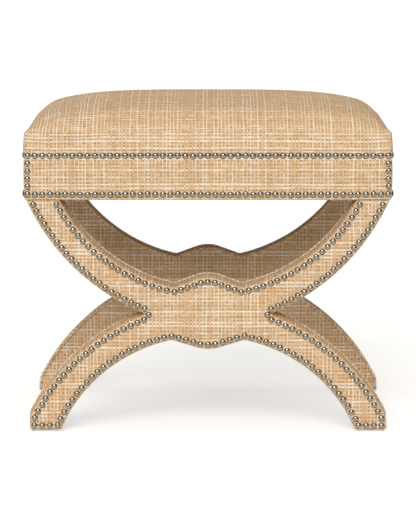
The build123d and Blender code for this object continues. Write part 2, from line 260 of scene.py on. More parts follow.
def woven_cloth_material():
    """Basket weave on the piece's own weave map in metres: a single cream warp yarn beside a
    golden pair, crossed by doubled straw wefts, some of them cream slubs."""
    material, start, shader = new_material("woven_cloth")
    place = start.node("UVMap", {"uv_map": "weave"})
    split = start.node("SeparateXYZ", None, {0: place})
    across = split * 1000
    along = split.other(1) * 1000

    def wander(scale_x, scale_y, seed):
        """Slow drift of the yarns."""
        return start.clouds(start.point(across * scale_x, along * scale_y, seed), 1.0, 2.0)

    def fract(value):
        return start.math("FRACT", value)

    def rounded(off):
        """Height of a round yarn at a share of its width off its middle."""
        return 1 - 4 * off * off

    # Place within the yarns and the repeat
    warp_place = (across + warp_sway * wander(0.09, 0.010, 1.0)) / warp_repeat
    weft_place = (along + weft_sway * wander(0.010, 0.07, 4.0)) / weft_pitch
    warp_number = start.math("FLOOR", warp_place)
    weft_number = start.math("FLOOR", weft_place)
    in_repeat = fract(warp_place)
    paired = start.math("GREATER_THAN", in_repeat, cream_width)
    single_off = in_repeat / cream_width - 0.5
    pair_off = (in_repeat - cream_width) / (1 - cream_width) - 0.5
    yarn_off = fract((in_repeat - cream_width) / (0.5 - 0.5 * cream_width)) - 0.5
    column_off = single_off + paired * (pair_off - single_off)
    warp_off = single_off + paired * (yarn_off - single_off)
    row_off = fract(weft_place) - 0.5
    weft_off = fract(weft_place * 2) - 0.5

    # Whether the warp is on top; the cream yarn also shows at the ends of its floats
    proud = (1 - paired) * start.math("GREATER_THAN", start.math("ABSOLUTE", row_off), 0.3)
    over = start.math("MAXIMUM", start.math("PINGPONG", paired + weft_number, 1.0), proud)

    def yarn_tone(number, run, length, seed):
        """Random tone of one yarn, and one that changes along it as slubs do."""
        own = start.node("TexWhiteNoise", {"noise_dimensions": "1D"}, {"W": number + seed})
        where = start.point(number * 7.31 + seed, run / length, 0.0)
        return own, start.clouds(where, 1.0, 2.0)

    # Tones of the yarns, of each cell and of the fibres
    warp_own, warp_slub = yarn_tone(warp_number, along, warp_slub_length, 3.0)
    weft_own, weft_slub = yarn_tone(weft_number, across, weft_slub_length, 91.0)
    warp_cream = (warp_own * 0.7 + warp_slub * 0.7).between(0.28, 1.1)
    weft_cream = (weft_own * 0.42 + weft_slub * 0.95).between(0.58, 0.94)
    fibre = start.clouds(start.point(across * 1.9, along * 1.9, 2.0), 1.0, 3.0)
    cell_place = start.point(2 * warp_number + paired, weft_number, 0.0)
    cell = start.node("TexWhiteNoise", {"noise_dimensions": "2D"}, {"Vector": cell_place})

    golden = srgb(208, 155, 97)
    straw = srgb(223, 188, 149)
    pale = srgb(234, 208, 176)
    cream = srgb(255, 245, 230)
    # the brown is painted shade for the gaps between the yarns
    gap_shade_brown = srgb(184, 128, 70)
    single_colour = start.mix(warp_cream, straw, cream)
    pair_colour = start.mix(0.3 * warp_slub + 0.75 * cell - 0.1, golden, straw)
    warp_colour = start.mix(paired, single_colour, pair_colour)
    plain_weft = start.mix(0.4 * weft_own + 0.6 * cell, straw, pale)
    weft_colour = start.mix(weft_cream, plain_weft, cream)
    top_colour = start.mix(over, weft_colour, warp_colour)

    # Height of the yarn on top, and the gaps between the cells, darkened towards brown as painted
    # shade
    warp_height = rounded(warp_off) * (0.5 + 0.5 * rounded(row_off))
    weft_height = rounded(weft_off) * (0.5 + 0.5 * rounded(column_off))
    height = warp_height * over + weft_height * (1 - over)
    warp_cell = rounded(column_off) * (0.5 + 0.5 * rounded(row_off))
    weft_cell = rounded(row_off) * (0.5 + 0.5 * rounded(column_off))
    # painted shade: the gaps between the yarns are mixed towards brown, standing in for the shade
    # the yarns cast on each other
    yarn_gap_shade = (0.4 - warp_cell * over - weft_cell * (1 - over)).between(0.0, 0.4)
    colour = start.mix(yarn_gap_shade * (0.04 + 0.3 * cell * cell), top_colour, gap_shade_brown)

    fill_sockets(shader, {
        "Base Color": start.tint(colour, 0.86 + 0.16 * fibre + 0.12 * cell),
        "Normal": start.bump(0.35, 0.0006, height + 0.35 * fibre),
        "Roughness": 0.86 - 0.12 * height,
        "Specular IOR Level": 0.1,
        "Sheen Weight": 0.02,
        "Sheen Tint": (*straw, 1),
        "Sheen Roughness": 0.5,
    })
    return material


def nail_metal_material():
    """Antique nickel: lighter on the worn crown, darker towards the rim, partly patina and partly
    painted shade for the dark reflection round the rim.
    """
    material, start, shader = new_material("nail_metal")
    place = start.node("TexCoord", out="Object")
    blotch = start.clouds(place, 420.0, 3.0)
    scratch = start.clouds(place, 2600.0, 2.0)
    depth = start.node("Attribute", {"attribute_name": "dome"}, out="Fac")
    # darker towards the rim: partly patina, partly painted shade standing in for the dark
    # reflection round the rim; the crown is lighter where it is worn
    wear_and_rim_shade = (depth + 0.3 * (blotch - 0.5)).between(0.1, 0.9)
    fill_sockets(shader, {
        "Base Color": start.mix(wear_and_rim_shade, srgb(78, 72, 62), srgb(156, 148, 136)),
        "Roughness": 0.22 - 0.08 * wear_and_rim_shade + 0.06 * blotch,
        "Metallic": 1.0,
        "Normal": start.bump(0.12, 0.0002, scratch),
    })
    return material


def wood_material(name, light, dark, ring_scale, plies=0.0):
    """Sawn timber: streaks along one direction, or thin stacked plies."""
    material, start, shader = new_material(name)
    place = start.node("TexCoord", out="Object")
    stretched = start.node("Mapping", None, {"Vector": place, "Scale": (6.0, 40.0, 40.0)})
    grain = start.clouds(stretched, ring_scale, 5.0).between(0.32, 0.68)
    if plies:
        layer = start.node("SeparateXYZ", None, {0: place}, out=1) * plies
        grain = grain * 0.6 + 0.4 * start.math("PINGPONG", layer, 1.0)
    fill_sockets(shader, {
        "Base Color": start.mix(grain, light, dark),
        "Roughness": 0.55 + 0.25 * grain,
        "Normal": start.bump(0.2, 0.0004, grain),
    })
    return material


def zinc_material():
    """Zinc-plated steel with the faint mottling of the plating."""
    material, start, shader = new_material("zinc_steel")
    mottle = start.clouds(start.node("TexCoord", out="Object"), 300.0, 3.0)
    fill_sockets(shader, {
        "Base Color": start.mix(mottle, srgb(150, 152, 156), srgb(205, 207, 210)),
        "Roughness": 0.28 + 0.2 * mottle,
        "Metallic": 1.0,
    })
    return material


def dust_cloth_material():
    """Thin black cambric with a fine weave."""
    material, start, shader = new_material("dust_cloth")
    place = start.node("UVMap", {"uv_map": "weave"})
    split = start.node("SeparateXYZ", None, {0: place})
    across = split * 1250
    along = split.other(1) * 1250
    weave = start.math("PINGPONG", across, 0.5) + start.math("PINGPONG", along, 0.5)
    fuzz = start.clouds(place, 90.0, 4.0)
    tone = 0.6 * weave + 0.5 * fuzz
    fill_sockets(shader, {
        "Base Color": start.mix(tone, srgb(22, 21, 21), srgb(58, 56, 54)),
        "Roughness": 0.8 + 0.15 * fuzz,
        "Normal": start.bump(0.25, 0.0003, weave),
    })
    return material


def nylon_material():
    """Moulded glide, pale and faintly scuffed."""
    material, start, shader = new_material("nylon")
    scuff = start.clouds(start.node("TexCoord", out="Object"), 160.0, 5.0)
    fill_sockets(shader, {
        "Base Color": start.mix(scuff, srgb(196, 192, 182), srgb(226, 222, 212)),
        "Roughness": 0.38 + 0.25 * scuff,
    })
    return material


cloth = woven_cloth_material()
nail_metal = nail_metal_material()
hardwood = wood_material("hardwood", srgb(205, 170, 122), srgb(160, 118, 74), 9.0)
plywood = wood_material("plywood", srgb(214, 184, 140), srgb(176, 138, 94), 7.0, plies=700.0)
zinc = zinc_material()
dust_cloth = dust_cloth_material()
nylon = nylon_material()


# Mesh helpers


def merged_copy(node):
    """A bmesh of a node's mesh with its loose triangles joined."""
    bm = bmesh.new()
    bm.from_mesh(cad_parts[node].data)
    bmesh.ops.remove_doubles(bm, verts=bm.verts[:], dist=weld)
    return bm


def box_block(low, high):
    """A plain block between two corners."""
    size, middle = high - low, (high + low) / 2
    bm = bmesh.new()
    place = Matrix.Translation(middle) @ Matrix.Diagonal((*size, 1))
    bmesh.ops.create_cube(bm, size=1, matrix=place)
    return bm


def slice_across(bm, axis, places):
    """Cuts the mesh along planes across one axis, so that it has points to shape."""
    normal = Vector((0, 0, 0))
    normal[axis] = 1
    for place in places:
        everything = bm.verts[:] + bm.edges[:] + bm.faces[:]
        bmesh.ops.bisect_plane(
            bm, geom=everything, dist=1e-7, plane_co=normal * place, plane_no=normal
        )


def steps(low, high, size):
    """Even places between two ends, about size apart, without the ends."""
    count = max(1, round((high - low) / size))
    return [low + (high - low) * k / count for k in range(1, count)]


def split_long_edges(bm, longest):
    """Divides long edges so that a rim bends evenly."""
    by_cuts = {}
    for edge in bm.edges:
        cuts = math.ceil(edge.calc_length() / longest) - 1
        if cuts > 0:
            by_cuts.setdefault(cuts, []).append(edge)
    for cuts, edges in by_cuts.items():
        bmesh.ops.bisect_edges(bm, edges=edges, cuts=cuts)


def roll_edges(bm, edges, radius, segments):
    """Rounds sharp edges."""
    bmesh.ops.bevel(
        bm, geom=edges, offset=radius, offset_type="OFFSET", affect="EDGES",
        segments=segments, profile=0.5, material=-1, clamp_overlap=False,
    )


def grow_edges(bm, edges):
    """Draws a new row out of a row of edges. Gives the new points and the new row."""
    grown = bmesh.ops.extrude_edge_only(bm, edges=edges)["geom"]
    verts = [item for item in grown if isinstance(item, bmesh.types.BMVert)]
    edges = [item for item in grown if isinstance(item, bmesh.types.BMEdge)]
    return verts, edges


def kept_faces(bm, wanted):
    """A copy of the mesh with only the faces whose numbers are wanted."""
    piece = bm.copy()
    piece.faces.ensure_lookup_table()
    extra = [face for face in piece.faces if face.index not in wanted]
    bmesh.ops.delete(piece, geom=extra, context="FACES")
    return piece


def loose_groups(bm, wanted):
    """The wanted faces as separate connected groups of numbers, the largest first."""
    left = set(wanted)
    faces = {face.index: face for face in bm.faces}
    groups = []
    while left:
        group, waiting = set(), [min(left)]
        while waiting:
            number = waiting.pop()
            if number in group:
                continue
            group.add(number)
            near = {f.index for e in faces[number].edges for f in e.link_faces}
            waiting.extend((near & left) - group)
        left -= group
        groups.append(group)
    return sorted(groups, key=len, reverse=True)


def nearest_finder(points):
    tree = kdtree.KDTree(len(points))
    for k, point in enumerate(points):
        tree.insert(point, k)
    tree.balance()
    return tree


def map_weave(bm, place):
    """Fills the weave map: place gives a face's corner its (across, along) in metres."""
    layer = bm.loops.layers.uv.get("weave") or bm.loops.layers.uv.new("weave")
    for face in bm.faces:
        for loop in face.loops:
            loop[layer].uv = place(face, loop.vert)


def surface(bm):
    return sum(face.calc_area() for face in bm.faces)


def smooth_step(low, high, value):
    t = min(1, max(0, (value - low) / (high - low)))
    return t * t * (3 - 2 * t)


def thicken(piece, thickness=cover_thickness):
    """Gives an open sheet its thickness, inwards."""
    wall = piece.modifiers.new("thickness", "SOLIDIFY")
    wall.thickness = thickness
    wall.offset = -1


def mesh_from(name, bm):
    """A mesh of a bmesh that is done with."""
    mesh = bpy.data.meshes.new(name)
    bm.to_mesh(mesh)
    bm.free()
    return mesh


def put_in_scene(name, data):
    """A new object for a mesh, lamp or camera."""
    made = bpy.data.objects.new(name, data)
    bpy.context.scene.collection.objects.link(made)
    return made


def finish_piece(name, bm, material, nodes):
    """Makes the object, smooth, riding with the stool and standing for its nodes."""
    mesh = mesh_from(name, bm)
    mesh.materials.append(material)
    mesh.shade_smooth()
    piece = put_in_scene(name, mesh)
    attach(piece, "root")
    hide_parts(*nodes)
    return piece


# The two crossed frames


def frame_block(name, side):
    """The whole padded form of a frame: its outline through its thickness, rims rolled."""
    low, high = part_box(f"{name}_outer_cover")
    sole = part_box(f"{name}_foot_covers")[0].z
    inner_low, inner_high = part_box(f"{name}_inner_cover")
    outer_y = low.y if side < 0 else high.y
    inner_y = inner_high.y if side < 0 else inner_low.y
    bm = merged_copy(f"{name}_outer_cover")
    hidden = [face for face in bm.faces if face.normal.y * side < 0.9]
    bmesh.ops.delete(bm, geom=hidden, context="FACES")
    bmesh.ops.dissolve_faces(bm, faces=bm.faces[:])
    feet = [vert for vert in bm.verts if vert.co.z < low.z + slack]
    bmesh.ops.translate(bm, verts=feet, vec=(0, 0, sole - low.z))
    split_long_edges(bm, rim_step)
    rim_points = [vert.co.copy() for vert in bm.verts]
    runs = welt_runs(bm, high.z, sole)
    grown = bmesh.ops.extrude_face_region(bm, geom=bm.faces[:])["geom"]
    moved = [item for item in grown if isinstance(item, bmesh.types.BMVert)]
    bmesh.ops.translate(bm, verts=moved, vec=(0, inner_y - outer_y, 0))
    bmesh.ops.recalc_face_normals(bm, faces=bm.faces[:])

    corners = [
        edge for edge in bm.edges
        if all(vert.co.z < sole + slack for vert in edge.verts)
        and abs(edge.verts[0].co.y - edge.verts[1].co.y) > 1 * MM
        and edge.calc_face_angle(0) > 0.5
    ]
    roll_edges(bm, corners, foot_corner_roll, roll_steps)
    for y, radius in ((outer_y, outer_roll), (inner_y, inner_roll)):
        rims = [
            edge for edge in bm.edges
            if all(abs(vert.co.y - y) < weld for vert in edge.verts)
            and not all(vert.co.z > high.z - slack for vert in edge.verts)
        ]
        roll_edges(bm, rims, radius, roll_steps)
    tops = [
        face for face in bm.faces
        if face.normal.z > 0.99 and face.calc_center_median().z > high.z - 10 * slack
    ]
    bmesh.ops.delete(bm, geom=tops, context="FACES")
    ends = sorted((outer_y, inner_y))
    slice_across(bm, 1, steps(ends[0] + outer_roll, ends[1] - outer_roll, strip_cell))
    bm.normal_update()
    return bm, rim_points, runs, outer_y, inner_y


def dense_loop(points):
    """The rim's points and four more between near neighbours, laid flat for distances."""
    dense = [Vector((p.x, 0, p.z)) for p in points]
    finder = nearest_finder(dense)
    for here in dense[:]:
        for other, _, away in finder.find_n(here, 3)[1:]:
            if away < 1.2 * rim_step:
                dense.extend(here.lerp(other, part / 5) for part in (1, 2, 3, 4))
    return dense


def make_frame(name, side):
    """Cloth panels, edge strips, soles and welts of one crossed frame."""
    bm, rim_points, runs, outer_y, inner_y = frame_block(name, side)
    rim = nearest_finder(dense_loop(rim_points))
    bm.faces.index_update()
    steep = math.sin(math.pi / 4)
    outer = {face.index for face in bm.faces if face.normal.y * side > steep}
    inner = {face.index for face in bm.faces if face.normal.y * side < -steep}
    sole_z = min(vert.co.z for vert in bm.verts)
    soles = {
        face.index for face in bm.faces
        if face.normal.z < -0.7 and face.calc_center_median().z < sole_z + foot_corner_roll
    } - outer - inner
    rest = {face.index for face in bm.faces} - outer - inner - soles
    strips = loose_groups(bm, rest)
    for scrap in strips[strip_count:]:
        soles |= scrap

    make_panel(name, "outer", kept_faces(bm, outer), rim, panel_crown, nail_draw, side)
    make_panel(name, "inner", kept_faces(bm, inner), rim, inner_crown, 0.0, -side)
    for wanted in strips[:strip_count]:
        make_strip(name, kept_faces(bm, wanted), (outer_y, inner_y))
    make_soles(name, kept_faces(bm, soles), abs(outer_y - inner_y))
    bm.free()
    make_welts(name, runs, inner_y, side)


def make_panel(name, kind, bm, rim, lift, dimple, side):
    """One face of a frame: cut into cells, lifted by its padding, drawn down along the nails."""
    bm.normal_update()
    for axis in (0, 2):
        places = [vert.co[axis] for vert in bm.verts]
        slice_across(bm, axis, steps(min(places), max(places), panel_cell))
    for vert in bm.verts:
        away = rim.find((vert.co.x, 0, vert.co.z))[2]
        rise = lift * smooth_step(0.7 * nail_inset, crown_reach, away)
        rise -= dimple * math.exp(-(((away - nail_inset) / nail_draw_width) ** 2))
        rise += cloth_ripple * noise.noise(vert.co * 38) * smooth_step(0, 20 * MM, away)
        vert.co.y += side * rise
    map_weave(bm, lambda face, vert: (vert.co.x, vert.co.z))
    hem = sum(edge.calc_length() for edge in bm.edges if edge.is_boundary)
    area = surface(bm) + turn_in * hem
    piece = finish_piece(
        f"{name}_{kind}_panel", bm, cloth,
        [f"{name}_{kind}_cover", f"{name}_{kind}_wadding"],
    )
    thicken(piece)


def middle_line(bm, middle):
    """Points along the middle of a strip, from end to end, and the length run at each."""
    row_y = min((vert.co.y for vert in bm.verts), key=lambda y: abs(y - middle))
    row = [vert for vert in bm.verts if abs(vert.co.y - row_y) < weld]
    in_row = set(row)
    start = next(
        vert for vert in row
        if sum(edge.other_vert(vert) in in_row for edge in vert.link_edges) == 1
    )
    path, lengths = [start], [0.0]
    while True:
        near = [edge.other_vert(path[-1]) for edge in path[-1].link_edges]
        ahead = [vert for vert in near if vert in in_row and vert not in path[-2:]]
        if not ahead:
            return [vert.co.copy() for vert in path], lengths
        lengths.append(lengths[-1] + (ahead[0].co - path[-1].co).length)
        path.append(ahead[0])


def shape_strip(bm, ends):
    """Bulges one edge of a frame, least at its bends, with the warp across the thickness."""
    middle = sum(ends) / 2
    half = abs(ends[1] - ends[0]) / 2 - outer_roll
    path, lengths = middle_line(bm, middle)
    finder = nearest_finder([(point.x, 0, point.z) for point in path])
    turn = [0.0] * len(path)
    for k in range(2, len(path) - 2):
        before = (path[k] - path[k - 2]).normalized()
        after = (path[k + 2] - path[k]).normalized()
        turn[k] = before.angle(after, 0)
    run = {}
    for vert in bm.verts:
        near = finder.find((vert.co.x, 0, vert.co.z))[1]
        run[vert] = lengths[near]
        sharp = max(turn[max(0, near - 4): near + 5])
        t = (vert.co.y - middle) / half
        if abs(t) < 1:
            ease = (1 - t * t) * (1 - 0.85 * smooth_step(0.15, 0.6, sharp))
            puff = 0.75 + 0.9 * noise.noise(vert.co * 14 + Vector((3, 0, 7)))
            to_end = min(lengths[near], lengths[-1] - lengths[near])
            puff *= smooth_step(0, 14 * MM, to_end)
            vert.co += vert.normal * (strip_bulge * ease * puff)
    map_weave(bm, lambda face, vert: (run[vert], vert.co.y))
    return lengths[-1]


def make_strip(name, bm, ends):
    """Cloth of one edge of a frame, named for where it lies."""
    centre = sum((vert.co for vert in bm.verts), Vector()) / len(bm.verts)
    if abs(centre.x) < 20 * MM:
        edge = "upper" if centre.z > 0.15 else "lower"
    else:
        edge = "left" if centre.x < 0 else "right"
    length = shape_strip(bm, ends)
    area = surface(bm)
    nodes = [f"{name}_{edge}_edge_cover"]
    if edge == "upper":
        nodes.append(f"{name}_edge_wadding")
    piece = finish_piece(f"{name}_{edge}_edge", bm, cloth, nodes)
    thicken(piece)
    area / length


def make_soles(name, bm, depth):
    """Cloth under the feet of a frame."""
    map_weave(bm, lambda face, vert: (vert.co.x, vert.co.y))
    area = surface(bm)
    piece = finish_piece(f"{name}_soles", bm, cloth, [f"{name}_foot_covers"])
    thicken(piece)
    area / depth


def welt_runs(bm, top, sole):
    """Paths of a frame's welts: its outline drawn in, broken at the arm tops and the soles."""
    ring = bm.copy()
    bmesh.ops.inset_region(
        ring, faces=ring.faces[:], thickness=welt_inset, use_even_offset=True
    )
    face = max(ring.faces, key=lambda f: f.calc_area())
    loop = [vert.co.copy() for vert in face.verts]
    ring.free()
    near = welt_inset + 0.3 * MM
    flat = [p.z > top - near or p.z < sole + near for p in loop]
    first = next(k for k in range(len(loop)) if flat[k - 1] and not flat[k])
    runs, run = [], []
    for k in range(first, first + len(loop)):
        if not flat[k % len(loop)]:
            run.append(loop[k % len(loop)])
        elif run:
            runs.append(run)
            run = []
    if run:
        runs.append(run)
    for run in runs:
        for end, inside, place in ((run[0], run[1], 0), (run[-1], run[-2], len(run))):
            goal = top if end.z > (top + sole) / 2 else sole + cover_thickness
            slope = (end - inside) / (end.z - inside.z)
            run.insert(place, end + slope * (goal - end.z))
    return runs


def sweep_cord(bm, path, y, uv):
    """A round cord along a path in an upright plane, with its weave on the bias."""
    spots = []
    for k, point in enumerate(path):
        ahead = path[min(k + 1, len(path) - 1)] - path[max(k - 1, 0)]
        ahead.y = 0
        turn = ahead.normalized().to_track_quat("Z", "Y").to_matrix().to_4x4()
        spots.append(Matrix.Translation((point.x, y, point.z)) @ turn)
    ring = bmesh.ops.create_circle(
        bm, cap_ends=True, segments=welt_sides, radius=welt_radius, matrix=spots[0]
    )["verts"]
    edges = list(dict.fromkeys(edge for vert in ring for edge in vert.link_edges))
    place = {
        vert: (0.0, k / welt_sides * math.tau * welt_radius) for k, vert in enumerate(ring)
    }
    length = 0.0
    for before, after, start, end in zip(spots, spots[1:], path, path[1:]):
        length += (end - start).length
        verts, edges = grow_edges(bm, edges)
        bmesh.ops.transform(bm, matrix=after @ before.inverted(), verts=verts)
        for vert in verts:
            local = after.inverted() @ vert.co
            turn = math.atan2(local.y, local.x) % math.tau
            place[vert] = (length, turn * welt_radius)
    bmesh.ops.contextual_create(bm, geom=edges)
    bias = math.sqrt(0.5)
    for vert, (run, round_it) in place.items():
        for loop in vert.link_loops:
            loop[uv].uv = (bias * (run + round_it), bias * (run - round_it))


def make_welts(name, runs, inner_y, side):
    """Covered cords round a frame's inner face."""
    bm = bmesh.new()
    uv = bm.loops.layers.uv.new("weave")
    for run in runs:
        sweep_cord(bm, run, inner_y - side * welt_stand, uv)
    bmesh.ops.recalc_face_normals(bm, faces=bm.faces[:])
    finish_piece(f"{name}_welt_cords", bm, cloth, [f"{name}_welts"])


# Seat band, pad and dust cover


def row_level(node):
    """Height of the middle of a row of nails."""
    low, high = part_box(node)
    return (low.z + high.z) / 2


def make_seat_band():
    """Cloth band round the seat rails, its lower edge turned under them."""
    low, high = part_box("seat_band_cover")
    dust_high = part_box("seat_dust_cover")[1]
    size = high - low
    bm = box_block(low, high)
    top = [face for face in bm.faces if face.normal.z > 0.9]
    bmesh.ops.delete(bm, geom=top, context="FACES")
    upright = [e for e in bm.edges if abs(e.verts[0].co.z - e.verts[1].co.z) > 0.5 * size.z]
    roll_edges(bm, upright, band_corner_roll, 5)
    lower = [e for e in bm.edges if all(v.co.z < low.z + weld for v in e.verts)]
    roll_edges(bm, lower, band_lower_roll, 3)
    under = [face for face in bm.faces if face.normal.z < -0.99]
    turned = high.y - dust_high.y - band_lower_roll
    bmesh.ops.inset_region(bm, faces=under, thickness=turned, use_even_offset=True)
    bmesh.ops.delete(bm, geom=under, context="FACES")
    slice_across(bm, 2, steps(low.z + band_lower_roll, high.z, band_row))
    slice_across(bm, 0, steps(low.x, high.x, band_cell))
    slice_across(bm, 1, steps(low.y, high.y, band_cell))
    bm.normal_update()
    upper_nails, lower_nails = row_level("seat_top_nails"), row_level("seat_bottom_nails")
    for vert in bm.verts:
        if vert.co.z > low.z + 4 * MM:
            t = (vert.co.z - lower_nails) / (upper_nails - lower_nails) * 2 - 1
            plain = Vector((vert.normal.x, vert.normal.y, 0))
            lift = band_swell * max(-0.2, 1 - t * t) + cloth_ripple * noise.noise(vert.co * 30)
            vert.co += plain * lift

    def place_on_band(face, vert):
        """Each side starts at its own place in the weave."""
        if abs(face.normal.z) > 0.7:
            return vert.co.x, vert.co.y
        if abs(face.normal.y) > abs(face.normal.x):
            return vert.co.x + (1.0 if face.normal.y > 0 else 0.0), vert.co.z
        return vert.co.y + (0.5 if face.normal.x > 0 else 1.5), vert.co.z

    map_weave(bm, place_on_band)
    around = 2 * (size.x + size.y)
    area = surface(bm)
    piece = finish_piece(
        "seat_band", bm, cloth, ["seat_band_cover", "seat_band_wadding"]
    )
    thicken(piece)
    area / around


def pad_rise(away, roll):
    """Share of the crown's height at a distance in from the pad's edge."""
    reach, fullness = roll
    return 1 - (1 - min(1, max(0, away) / reach)) ** fullness


def pad_shoulder(y, half_y):
    """Height of the pad's upright sides, which drops a little towards the back."""
    back = 0.5 + 0.5 * min(1, max(-1, y / half_y))
    return pad_shoulder_front + (pad_shoulder_back - pad_shoulder_front) * back


def path_table(half):
    """Length of cloth from the pad's middle line, for every millimetre out to its edge."""
    table, length = [0.0], 0.0
    crown = pad_top - pad_shoulder(0, half)
    for k in range(round(half / MM)):
        inner, outer = half - k * MM, half - (k + 1) * MM
        rises = [math.sqrt(pad_rise(away, pad_roll_deep)) for away in (inner, outer)]
        climb = crown * (rises[0] - rises[1])
        length += math.hypot(MM, climb)
        table.append(length)
    return table


def shape_pad_point(vert, half_x, half_y):
    """Lifts a point of the flat sheet to the dome, rounds the corners and draws in the sides."""
    x, y = vert.co.x, vert.co.y
    across, deep = half_x - abs(x), half_y - abs(y)
    rise = math.sqrt(pad_rise(across, pad_roll_across) * pad_rise(deep, pad_roll_deep))
    inner_x, inner_y = half_x - pad_corner_radius, half_y - pad_corner_radius
    over_x, over_y = abs(x) - inner_x, abs(y) - inner_y
    if over_x > 0 and over_y > 0:
        reach = max(over_x, over_y) / math.hypot(over_x, over_y)
        x = math.copysign(inner_x + over_x * reach, x)
        y = math.copysign(inner_y + over_y * reach, y)
    shoulder = pad_shoulder(y, half_y)
    draw_x = 1 - 0.15 * pad_draw_in / half_x * (1 - (y / half_y) ** 2)
    draw_y = 1 - 0.6 * pad_draw_in / half_y * (1 - (x / half_x) ** 2)
    z = shoulder + (pad_top - pad_swell - shoulder) * rise
    vert.co = Vector((x * draw_x, y * draw_y, z))


def hang_pad_sides(bm, border, half_x, half_y, seam, depth_run):
    """The pad's upright sides, row by row from its shoulder down to the seam, slightly bowed."""
    layer = bm.loops.layers.uv["weave"]
    for k in range(1, pad_side_rows + 1):
        verts, border = grow_edges(bm, border)
        bow = math.sin(math.pi * k / pad_side_rows) - math.sin(math.pi * (k - 1) / pad_side_rows)
        inward = -pad_side_bow * bow + pad_spread / pad_side_rows
        scale = (1 - inward / half_x, 1 - inward / half_y, 1)
        bmesh.ops.scale(bm, verts=verts, vec=scale)
        for vert in verts:
            top = pad_shoulder(vert.co.y, half_y)
            vert.co.z = top + (seam - top) * k / pad_side_rows
        for face in {f for vert in verts for f in vert.link_faces}:
            face.normal_update()
            for loop in face.loops:
                x, y, z = loop.vert.co
                hang = pad_shoulder(y, half_y) - z
                if abs(face.normal.y) > abs(face.normal.x):
                    loop[layer].uv = (x, math.copysign(depth_run + hang, y))
                else:
                    loop[layer].uv = (math.copysign(half_x + hang, x), y)


def make_seat_pad():
    """Crowned pad: a cloth sheet over a domed form, swelled by its filling, then closed below."""
    low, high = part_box("seat_top_cover")
    band_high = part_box("seat_band_cover")[1]
    deck_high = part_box("seat_deck")[1]
    half_x, half_y = high.x + pad_spread, high.y + 0.4 * pad_spread
    seam = low.z
    bm = bmesh.new()
    bmesh.ops.create_grid(
        bm, x_segments=round(2 * half_x / pad_cell), y_segments=round(2 * half_y / pad_cell),
        size=0.5, matrix=Matrix.Diagonal((2 * half_x, 2 * half_y, 1, 1)),
    )
    table = path_table(half_y)

    def place_on_crown(face, vert):
        run = table[min(len(table) - 1, round(abs(vert.co.y) / MM))]
        return vert.co.x, math.copysign(run, vert.co.y)

    map_weave(bm, place_on_crown)
    border = [edge for edge in bm.edges if edge.is_boundary]
    for vert in bm.verts:
        shape_pad_point(vert, half_x, half_y)
    hang_pad_sides(bm, border, half_x, half_y, seam, table[-1])
    bmesh.ops.recalc_face_normals(bm, faces=bm.faces[:])
    swelled = swell_pad(bm, seam)

    bm = bmesh.new()
    bm.from_mesh(swelled)
    border = [edge for edge in bm.edges if edge.is_boundary]
    verts, border = grow_edges(bm, border)
    round_deck = (
        (deck_high.x + deck_gap) / band_high.x, (deck_high.y + deck_gap) / band_high.y, 1,
    )
    bmesh.ops.scale(bm, verts=verts, vec=round_deck)
    verts, border = grow_edges(bm, border)
    bmesh.ops.translate(bm, verts=verts, vec=(0, 0, deck_high.z - seam))
    bmesh.ops.contextual_create(bm, geom=border)
    bmesh.ops.recalc_face_normals(bm, faces=bm.faces[:])
    piece = finish_piece(
        "seat_pad", bm, cloth, ["seat_top_cover", "seat_wadding", "seat_foam"]
    )


def swell_pad(bm, seam):
    """Lets the filling press the pad's cloth out, held along its seam, then makes it finer."""
    mesh = mesh_from("pad_sheet", bm)
    sheet = put_in_scene("pad_sheet", mesh)
    held = sheet.vertex_groups.new(name="held")
    held.add([v.index for v in mesh.vertices if v.co.z < seam + weld], 1.0, "REPLACE")
    press = sheet.modifiers.new("press", "CLOTH")
    for setting, value in pad_cloth.items():
        setattr(press.settings, setting, value)
    press.settings.effector_weights.gravity = 0
    press.point_cache.frame_start, press.point_cache.frame_end = 1, press_frames
    for number in range(1, press_frames + 1):
        bpy.context.scene.frame_set(number)
    moved = sheet.evaluated_get(bpy.context.evaluated_depsgraph_get()).to_mesh()
    shifts = [end.co - start.co for start, end in zip(mesh.vertices, moved.vertices)]
    sheet.modifiers.remove(press)
    for vert, shift in zip(mesh.vertices, evened(mesh, shifts, even_rounds)):
        vert.co += shift * min(1, pad_swell_limit / max(shift.length, 1e-9))
    bpy.context.scene.frame_set(1)
    finer = sheet.modifiers.new("finer", "SUBSURF")
    finer.levels = finer.render_levels = 1
    shown = sheet.evaluated_get(bpy.context.evaluated_depsgraph_get())
    fine = bpy.data.meshes.new_from_object(shown)
    bpy.data.objects.remove(sheet)
    return fine


def evened(mesh, shifts, rounds):
    """Shifts of the points, each drawn towards its neighbours', so that no creases are left."""
    near = [[] for _ in mesh.vertices]
    for edge in mesh.edges:
        first, second = edge.vertices
        near[first].append(second)
        near[second].append(first)
    for _ in range(rounds):
        shifts = [
            0.5 * shift + 0.5 / len(around) * sum((shifts[k] for k in around), Vector())
            for shift, around in zip(shifts, near)
        ]
    return shifts


def make_dust_cover():
    """Black cambric under the seat, sagging a little between its staples."""
    low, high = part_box("seat_dust_cover")
    bm = bmesh.new()
    size = high - low
    place = Matrix.Translation(((low.x + high.x) / 2, (low.y + high.y) / 2, high.z))
    bmesh.ops.create_grid(
        bm, x_segments=dust_cells[0], y_segments=dust_cells[1], size=0.5,
        matrix=place @ Matrix.Diagonal((size.x, size.y, 1, 1)),
    )
    bmesh.ops.reverse_faces(bm, faces=bm.faces[:])
    for vert in bm.verts:
        u, v = 2 * vert.co.x / size.x, 2 * vert.co.y / size.y
        sag = dust_sag * (1 - u * u) * (1 - v * v)
        ripple = cloth_ripple * noise.noise(Vector((vert.co.x * 25, vert.co.y * 25, 2)))
        vert.co.z -= dust_drop + sag + ripple * (1 - max(abs(u), abs(v)))
    map_weave(bm, lambda face, vert: (vert.co.x, vert.co.y))
    piece = finish_piece("dust_cover", bm, dust_cloth, ["seat_dust_cover"])
    thicken(piece, cambric_thickness)


